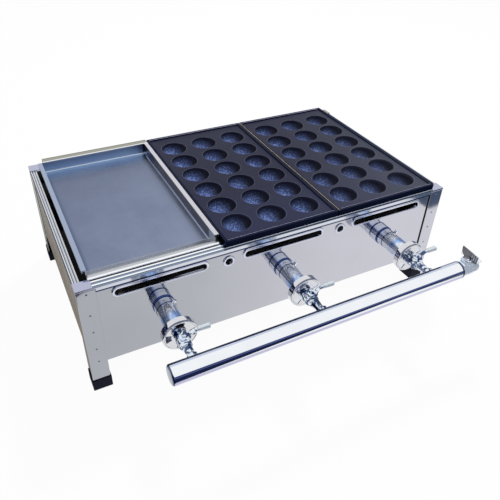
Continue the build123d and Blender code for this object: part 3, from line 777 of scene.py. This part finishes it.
def griddlePan():
    shape = mergedCopy("griddle_pan")
    levels = (griddle["floor"], griddle["floor"] - griddle["sheet"])
    bends = [e for e in sharpEdges(shape, 20)
             if any(all(abs(v.co.z - level) < 0.05 for v in e.verts) for level in levels)]
    eased(shape, griddle["bend"], 5, edges=bends)
    tip = [v for v in shape.verts if v.co.y < griddle["front"] + 0.05]
    bmesh.ops.translate(shape, verts=tip, vec=(0, -griddle["reach"], 0))
    top = max(v.co.z for v in tip) - 0.1
    nose = [e for e in sharpEdges(shape, 40) if e.calc_length() > 50
            and all(v.co.y < griddle["front"] - 0.5 and v.co.z > top for v in e.verts)]
    eased(shape, griddle["nose"], 5, edges=nose)
    for y in (griddle["wall"] + 0.6, griddle["wall"] + 1.0):    # for the notch in the rear rim
        bmesh.ops.bisect_plane(shape, geom=shape.verts[:] + shape.edges[:] + shape.faces[:],
                               dist=0.001, plane_co=(0, y, 0), plane_no=(0, 1, 0))
    for vert in shape.verts:
        if vert.co.y > griddle["wall"] + 0.8:
            vert.co.x = max(vert.co.x, griddle["left"] + griddle["notch"])
    bmesh.ops.remove_doubles(shape, verts=shape.verts, dist=0.01)
    eased(shape, griddle["edge"], 2, 40)
    return finished("griddlePan", shape, "griddle", bluedSteel(griddle),
                    ["griddle_pan"], 40)


griddlePan()
print("griddle made")

# burners and mixing tubes
tubeChrome = tubeChromeFinish({"blue": casingFront - 44, "joints": (
    (casingFront - 6.4, 1.9, (0.035, 0.08, 0.26)), (casingFront - 18.2, 0.45, (0.02, 0.04, 0.14)))})
tube = {"land": 68.3, "radii": (9.0, 12.4, 20.6, 21.4), "bars": 15, "profile": (
    (-24, 14), (-2, 14), (-1.95, 15.6), (6.2, 15.6), (6.9, 15.2), (7.0, 14.5), (17.6, 14.5),
    (18.1, 14.0), (54.5, 14.0), (56.6, 14.4), (58.0, 15.6), (58.6, 17.2), (58.7, 22.4),
    (59.0, 23.1), (59.7, 23.4), (66.2, 23.4), (66.8, 23.1), (67.0, 22.5), (67.0, 21.2),
    (60.6, 21.2), (60.2, 12.2), (-24, 12.2), (-24, 14))}


def mixingTube(side, x):
    shell = turned(tube["profile"], 72)
    land = windowed(tube["radii"], 1.4)
    bmesh.ops.translate(land, verts=land.verts, vec=(0, 0, tube["land"]))
    shape = gathered(shell, land)
    placed(shape, (x, casingFront, tubeZ), (0, -1, 0))
    finished(f"mixingTube-{side}", shape, "casing", tubeChrome, [f"burner_{side}"], 28)
    bars = mergedCopy(f"burner_{side}")
    bmesh.ops.bisect_plane(bars, geom=bars.verts[:] + bars.edges[:] + bars.faces[:], dist=0.001,
                           plane_co=(0, casingFront + tube["bars"], 0), plane_no=(0, 1, 0),
                           clear_inner=True)
    eased(bars, 1.2, 3, 35)
    finished(f"flameBars-{side}", bars, "casing", soot, [f"burner_{side}"])


def windowed(radii, thickness):                # a flat ring with four windows, its face on z = 0
    shape = spun([(0, radius) for radius in radii], 96)
    openWindows(shape, radii[1], radii[2])
    bmesh.ops.recalc_face_normals(shape, faces=shape.faces)
    for face in shape.faces:
        if face.normal.z < 0:
            face.normal_flip()
    bmesh.ops.solidify(shape, geom=shape.faces, thickness=thickness)
    return shape


def openWindows(shape, inner, outer):
    gone = []
    for face in shape.faces:
        centre = face.calc_center_median()
        radius = math.hypot(centre.x, centre.y)
        angle = (math.degrees(math.atan2(centre.y, centre.x)) + 45) % 90 - 45
        if inner < radius < outer and abs(angle) < shutter["window"] and centre.z > -0.3:
            gone.append(face)
    bmesh.ops.delete(shape, geom=gone, context="FACES")


pressedChrome = ribbedFinish("pressedChrome", {
    "dull": (0.60, 0.61, 0.65), "bright": (0.78, 0.78, 0.80), "squares": (), "rough": 0.03,
    "stripes": ((1, casingFront - 67.9, 0.3, (0.10, 0.11, 0.16)),)})
shutter = {
    "turn": {"left": 0, "middle": 37, "right": 37}, "sheet": 0.5, "reach": 69.0,
    "window": 18.8, "between": (12.6, 20.4), "profile": (
        (-1.2, 8.1), (-0.4, 8.1), (0, 8.5), (0, 12.6), (0, 20.4), (0, 21.0), (-0.5, 21.4),
        (-0.5, 22.0), (0, 22.4), (-0.1, 23.1), (-0.5, 23.7), (-1.2, 24.0), (-9.6, 24.0))}


def airShutter(side, x):                       # a pressed cup with a bead round its face
    shape = spun(shutter["profile"], 96)
    openWindows(shape, *shutter["between"])
    bmesh.ops.recalc_face_normals(shape, faces=shape.faces)
    if sum(f.normal.z for f in shape.faces) < 0:
        bmesh.ops.reverse_faces(shape, faces=shape.faces)
    bmesh.ops.solidify(shape, geom=shape.faces, thickness=shutter["sheet"])
    placed(shape, (x, casingFront - shutter["reach"], tubeZ), (0, -1, 0), shutter["turn"][side])
    finished(f"airShutter-{side}", shape, f"shutter_{side}", pressedChrome,
             [f"air_shutter_{side}"], 30)


# gas cocks
cock = {"plug": 82.0, "bossTop": 138.6, "leverZ": 138.9, "gripStart": 13.5, "gripZ": 144.0,
        "nutZ": 141.4, "width": 5.2, "arm": (
            (4.5, 138.9), (7, 138.9), (13.5, 142.3), (17, 142.7), (17, 145.2), (13, 144.8),
            (7, 141.4), (4.5, 141.4))}


def gasCock(side, x):
    spigot = turned([(61, 0), (61, 7.6), (61.4, 8.0), (69.3, 8.0), (69.4, 9.0), (69.8, 9.5),
                     (71.4, 9.5), (71.9, 9.0), (72.0, 8.2), (76.8, 8.2), (77.2, 8.9), (78.0, 9.2),
                     (79.0, 8.6), (86.5, 8.4), (89.5, 8.0), (91.4, 7.0), (92.2, 5.6), (93, 0)], 56)
    nut = prism(6, 17.6, 4.4, 0.5)
    bmesh.ops.translate(nut, verts=nut.verts, vec=(0, 0, 72.3))
    neck = turned([(90, 0), (90, 6.4), (95, 6.3), (103.5, 5.6), (105.0, 5.9), (106.2, 7.6),
                   (107.4, 8.3), (114, 8.6), (114, 0)], 8)
    along = placed(gathered(spigot, nut, neck), (x, casingFront, tubeZ), (0, -1, 0))
    boss = turned([(-9.5, 0), (-9.3, 4.0), (-8.6, 6.2), (-7.0, 7.8), (-5.0, 8.5), (4.0, 8.5),
                   (5.0, 7.9), (6.6, 7.8), (7.4, 8.4), (9.8, 8.4), (10.6, 7.7), (10.6, 5.46),
                   (-4, 5.46), (-4, 0)], 56)
    plugY = casingFront - cock["plug"]
    placed(boss, (x, plugY, tubeZ))
    stop = turned([(0, 1.3), (1.3, 1.3), (1.7, 0.9), (1.7, 0)], 12)
    placed(stop, (x - 4.4, plugY - 5.2, cock["bossTop"] - 0.2))
    finished(f"cockBody-{side}", gathered(along, boss, stop), "casing", cockChrome,
             [f"cock_body_{side}"], 30)

    body = f"cock_{side}"
    hub = turned([(0, 3.1), (0, 6.6), (0.5, 7.2), (1.9, 7.2), (2.5, 6.6), (2.5, 3.1), (0, 3.1)], 48)
    placed(hub, (x, plugY, cock["leverZ"]))
    arm = swept([(x + reach, plugY - cock["width"] / 2, z) for reach, z in cock["arm"]],
                (0, cock["width"], 0))
    eased(arm, 0.5, 2, 25)
    finished(f"cockLever-{side}", gathered(hub, arm), body, cockChrome,
             [f"cock_lever_{side}"])
    grip = turned([(0, 0), (0, 1.9), (0.5, 2.4), (4.0, 2.6), (4.6, 3.2), (5.4, 3.5), (20.2, 3.95),
                   (20.9, 3.6), (21.1, 3.1), (21.1, 0)], 40)
    placed(grip, (x + cock["gripStart"], plugY, cock["gripZ"]), (1, 0, 0))
    finished(f"leverGrip-{side}", grip, body, sleeve, [f"lever_grip_{side}"])
    top = prism(6, 8.0, 2.4, 0.5)
    crown = turned([(2.0, 2.4), (3.0, 2.2), (3.4, 1.6), (3.5, 0)], 20)
    cap = placed(gathered(top, crown), (x, plugY, cock["nutZ"]))
    finished(f"cockNut-{side}", cap, body, cockChrome, [f"cock_nut_{side}"])
    softened(f"cock_plug_{side}", f"cockPlug-{side}", brass, 0.25)


for side, x in zip(("left", "middle", "right"), burnerX):
    mixingTube(side, x)
    airShutter(side, x)
    gasCock(side, x)
softened("tube_screws", "tube-screws", chromePlate, 0.3)
softened("gas_jets", "gas-jets", brass, 0.3)
print("burners and cocks made")

# gas pipe and main cock
pipeLow, pipeHigh = boxOf("gas_pipe")
capLow, capHigh = boxOf("pipe_ends")
pipeY = (pipeLow.y + pipeHigh.y) / 2
pipe = {"radius": 13.6, "cap": 8.0}
# painted reflections: a pale blue and a dark band along the pipe and dark rings near its ends;
# painted shade: bluer below the axis
pipeChrome = ribbedFinish("pipeChrome", {
    "dull": (0.80, 0.83, 0.88), "bright": (0.92, 0.94, 0.96), "squares": (), "rough": 0.02,
    "low": tubeZ + 0.6, "stripes": (
        (1, pipeY + 2.4, 2.0, (0.56, 0.62, 0.76)), (1, pipeY + 6.9, 2.0, (0.07, 0.10, 0.18)),
        (0, capLow.x, 1.0, (0.17, 0.21, 0.28)), (0, capLow.x + 1.3, 0.5, (0.06, 0.08, 0.16)),
        (0, capHigh.x - 4.0, 1.3, (0.04, 0.05, 0.13)))})


def gasPipe():
    length = pipeHigh.x - pipeLow.x
    r = pipe["radius"] - 0.02
    shell = turned([(0, 0), (0, r), (length, r), (length, 0)], 96)
    placed(shell, (pipeLow.x, pipeY, tubeZ), (1, 0, 0))
    finished("gasPipe", shell, "casing", pipeChrome, ["gas_pipe"])
    size = pipe["cap"]
    end = pipe["radius"]
    profile = [(0, 0), (0, end - 3.2), (0.3, end - 1.9), (1.0, end - 0.8), (2.1, end - 0.1),
               (3.0, end), (size - 0.01, end), (size - 0.01, 0)]
    caps = [placed(turned(profile, 96), (x, pipeY, tubeZ), (way, 0, 0))
            for x, way in ((capLow.x, 1), (capHigh.x, -1))]
    finished("pipeEnds", gathered(*caps), "casing", pipeChrome, ["pipe_ends"])


gasPipe()
mainTap = {"boss": 13.6, "fold": 1.0, "sheet": 2.0, "foot": 13.6}
mainLow = boxOf("main_cock_body")[0]
mainX = mainLow.x + mainTap["boss"]


def mainCock():
    nodeShape = prism(6, 22.0, 22.6, 0.9)
    placed(nodeShape, (mainLow.x, pipeY, tubeZ), (1, 0, 0), 30)
    thread = turned([(22, 7.5), (22, 9.6), (23, 10.4), (29.8, 10.4), (30.6, 9.6), (30.6, 7.5),
                     (20, 7.5), (20, 0)], 48)
    placed(thread, (mainLow.x, pipeY, tubeZ), (1, 0, 0))
    boss = turned([(4, 0), (6, 8.6), (9.6, 9.4), (10.6, 10.2), (12.2, 10.4), (13.4, 9.9), (14, 9.0),
                   (14, 6.06), (0, 6.06), (0, 0)], 56)
    placed(boss, (mainX, pipeY, tubeZ))
    finished("mainCockBody", gathered(nodeShape, thread, boss), "casing", nickel,
             ["main_cock_body"], 30)
    low, high = boxOf("main_cock_lever")
    foldX = mainX + mainTap["fold"]
    upright = swept([(foldX, y, z) for y, z in (
        (low.y, low.z), (high.y - 7.0, low.z), (high.y - 1.0, low.z + 4.6), (high.y, high.z),
        (low.y, high.z - 2.0))], (mainTap["sheet"], 0, 0))
    eased(upright, 0.25, 2)
    endX, top = foldX + mainTap["foot"], low.z + mainTap["sheet"]
    foot = swept([(x, low.y, z) for x, z in (
        (foldX, low.z), (endX, low.z), (endX, top), (foldX, top))], (0, high.y - low.y, 0))
    corners = [e for e in foot.edges if abs(e.verts[0].co.z - e.verts[1].co.z) > 1
               and min(v.co.x for v in e.verts) > foldX + 5]
    eased(foot, 2.2, 4, edges=corners)
    eased(foot, 0.35, 2)
    hub = turned([(0, 0), (0, 7.0), (0.4, 7.5), (1.6, 7.5), (2.0, 7.0), (2.0, 0)], 40)
    placed(hub, (mainX, pipeY, low.z))
    bolt = prism(6, 7.0, 2.6, 0.5)
    placed(bolt, (mainX - 3.2, pipeY, top))
    finished("mainCockLever", gathered(foot, hub, bolt), "main_tap", chromePlate,
             ["main_cock_lever"], 30)
    # painted highlights: pale stripes near the front of the blade
    wearAndPaintedLight = ribbedFinish("paintedBladeHighlights", {
        "dull": (0.10, 0.10, 0.11), "bright": (0.24, 0.24, 0.26), "squares": (), "rough": 0.25,
        "stripes": (
            (1, low.y + 2.2, 0.7, (0.62, 0.66, 0.70)), (1, low.y + 6.0, 0.5, (0.55, 0.58, 0.62)),
            (1, low.y + 9.4, 0.3, (0.45, 0.47, 0.50)))})
    finished("mainCockBlade", upright, "main_tap", wearAndPaintedLight, ["main_cock_lever"], 30)
    softened("main_cock_plug", "mainCockPlug", brass, 0.3)


mainCock()
print("pipe and main cock made")


# floor, light and camera
studio = {"floorColour": (0.96, 0.96, 0.97), "glow": 0.96, "diffuse": 0.28, "lamp": 14.0,
          "rear lamp": 46.0, "shade": 0.995}
# painted shadow: floor patches under the casing and beside the left rear leg
unlit = ((0.0, 0.292, 0.284, 0.125, 0.125, 0.105),    # middle, outer and inner half, in x and in y
         (-0.268, 0.026, 0.018, 0.22, 0.105, 0.09))


def studioFloor():
    shape = bmesh.new()
    bmesh.ops.create_grid(shape, x_segments=1, y_segments=1, size=30)
    material = bpy.data.materials.new("paleFloor")
    tree = NodeTree(material)
    tree.tree.nodes.clear()
    where = tree.position()
    across, along = (tree.split(where, k) for k in range(2))
    # painted shadow: the floor near black, and its glow dimmed, in those patches
    under = 0.0
    for middleX, outerX, innerX, middleY, outerY, innerY in unlit:
        patch = (tree.mask(abs(across - middleX), outerX, innerX)
                 * tree.mask(abs(along - middleY), outerY, innerY))
        under = patch.reckon("MAXIMUM", under, patch)
    paper = tree.add("ShaderNodeBsdfDiffuse", {},
                     {"Color": tree.tint(under, studio["floorColour"], (0.004, 0.004, 0.005))})
    glow = tree.add("ShaderNodeEmission", {}, {"Color": (1, 1, 1, 1), "Strength": 1.0})
    rays = tree.add("ShaderNodeLightPath", {}, {})    # its first output is for camera rays
    seen = rays.reckon("MAXIMUM", rays, rayOutput(tree, rays, "Is Glossy Ray"))
    seen = seen.reckon("MAXIMUM", seen, rayOutput(tree, rays, "Is Transmission Ray"))
    seen = seen * (studio["glow"] - under * studio["shade"] * studio["glow"])
    mixed = tree.add("ShaderNodeMixShader", {}, {0: seen, 1: paper, 2: glow})
    tree.add("ShaderNodeOutputMaterial", {}, {0: mixed})
    floor = shown("floor", shape, material)
    floor.location.z = -0.0002


def darkCard(name, corners, colour):           # seen only in reflections
    shape = bmesh.new()
    shape.faces.new([shape.verts.new(corner) for corner in corners])
    material = bpy.data.materials.new(name)
    tree = NodeTree(material)
    tree.tree.nodes.clear()
    glow = tree.add("ShaderNodeEmission", {}, {"Color": (*colour, 1), "Strength": 1.0})
    clear = tree.add("ShaderNodeBsdfTransparent", {}, {})
    rays = tree.add("ShaderNodeLightPath", {}, {})    # its first output is for camera rays
    mixed = tree.add("ShaderNodeMixShader", {},
                     {0: rayOutput(tree, rays, "Is Glossy Ray"), 1: clear, 2: glow})
    tree.add("ShaderNodeOutputMaterial", {}, {0: mixed})
    card = shown(name, shape, material)


def rayOutput(tree, wire, name):
    return Wire(tree, wire.socket.node.outputs[name])


def studioWorld():
    world = bpy.data.worlds.new("studio")
    bpy.context.scene.world = world
    tree = NodeTree(world)
    tree.tree.nodes.clear()
    rays = tree.add("ShaderNodeLightPath", {}, {})    # its first output is for camera rays
    glossy = rayOutput(tree, rays, "Is Glossy Ray")
    toward = tree.add("ShaderNodeTexCoord", {}, {}, 0)
    east, north, up = (tree.split(toward, k) for k in range(3))
    front = tree.mask(north * -1.0, 0.0, 0.5)
    band = tree.mask(up - east * -0.25, 0.42, 0.34) * front
    blueSky = tree.mask(up, 0.15, 0.28) * tree.mask(up, 0.75, 0.50) * tree.mask(east, 0.05, -0.25)
    blueSky = blueSky * front
    sky = tree.tint(blueSky * 0.75, (1.0, 1.0, 1.0), (0.16, 0.34, 0.85))
    navy = tree.tint(tree.mask(up, 0.20, 0.14), (0.012, 0.018, 0.085), (0.085, 0.11, 0.30))
    sky = tree.tint(band, sky, navy)
    plain = (0.93, 0.95, 1.0)
    tint = tree.tint(glossy, plain, sky)
    tint = tree.tint(rays, tint, (1.0, 1.0, 1.0))
    seen = rays.reckon("MAXIMUM", rays, glossy)
    strength = studio["diffuse"] + seen * (1.0 - studio["diffuse"])
    lit = tree.add("ShaderNodeBackground", {}, {"Color": tint, "Strength": strength})
    tree.add("ShaderNodeOutputWorld", {}, {0: lit})


def softLamp(name, place, aim, size, power):
    lamp = bpy.data.lights.new(name, "AREA")
    lamp.shape = "DISK"
    lamp.size = size
    lamp.energy = power
    holder = bpy.data.objects.new(name, lamp)
    holder.location = place
    holder.rotation_euler = (Vector(aim) - Vector(place)).to_track_quat("-Z", "Y").to_euler()
    holder.visible_glossy = False              # metal shows the room and its cards, not the lamps
    bpy.context.scene.collection.objects.link(holder)


def stillCamera(look):
    azimuth, elevation, roll = (math.radians(look[k]) for k in ("azimuth", "elevation", "roll"))
    forward = Vector((-math.sin(azimuth) * math.cos(elevation),
                      math.cos(azimuth) * math.cos(elevation), -math.sin(elevation)))
    right = forward.cross(Vector((0, 0, 1))).normalized()
    upward = right.cross(forward)
    across = math.cos(roll) * right + math.sin(roll) * upward
    above = -math.sin(roll) * right + math.cos(roll) * upward
    camera = bpy.data.cameras.new("camera")
    camera.sensor_width = 36.0
    camera.lens = look["lens"]
    camera.shift_x, camera.shift_y = look["shift"]
    camera.clip_start = 0.01
    holder = bpy.data.objects.new("camera", camera)
    matrix = Matrix((across, above, -forward)).transposed().to_4x4()
    matrix.translation = look["place"]
    holder.matrix_world = matrix
    bpy.context.scene.collection.objects.link(holder)
    bpy.context.scene.camera = holder


studioFloor()
studioWorld()
softLamp("keyLamp", (-0.9, -1.3, 2.3), (0, 0, 0.1), 1.6, studio["lamp"])
softLamp("rearLamp", (1.0, 1.2, 2.1), (0, 0, 0.15), 0.5, studio["rear lamp"])
nearEdge = Vector((-0.45, -0.23, 0.0005))
farEdge = Vector((0.10, -0.50, 0.0005))
sideways = (farEdge - nearEdge).normalized()
outward = Vector((sideways.y, -sideways.x, 0))
start, end = nearEdge - sideways * 9, farEdge + sideways * 40
darkCard("tableEdge", (start, end, end + outward * 40, start + outward * 40),
         (0.012, 0.018, 0.060))
darkCard("sideCard", ((0.47, -0.27, 0.001), (1.3, -0.27, 0.001), (1.3, -0.75, 0.001),
                      (0.40, -0.75, 0.001)), (0.09, 0.13, 0.20))
darkCard("sideFloor", ((-0.36, -0.10, 0.001), (-0.30, -0.10, 0.001), (-0.30, 1.0, 0.001),
                       (-0.36, 1.0, 0.001)), (0.28, 0.25, 0.22))
stillCamera({"azimuth": -27.924, "elevation": 35.459, "roll": 1.808, "lens": 38.86,
             "shift": (0.0104, -0.0421), "place": (-0.34696, -0.63482, 0.63764)})
bpy.context.scene.view_settings.view_transform = "Standard"
print("floor, light and camera set")
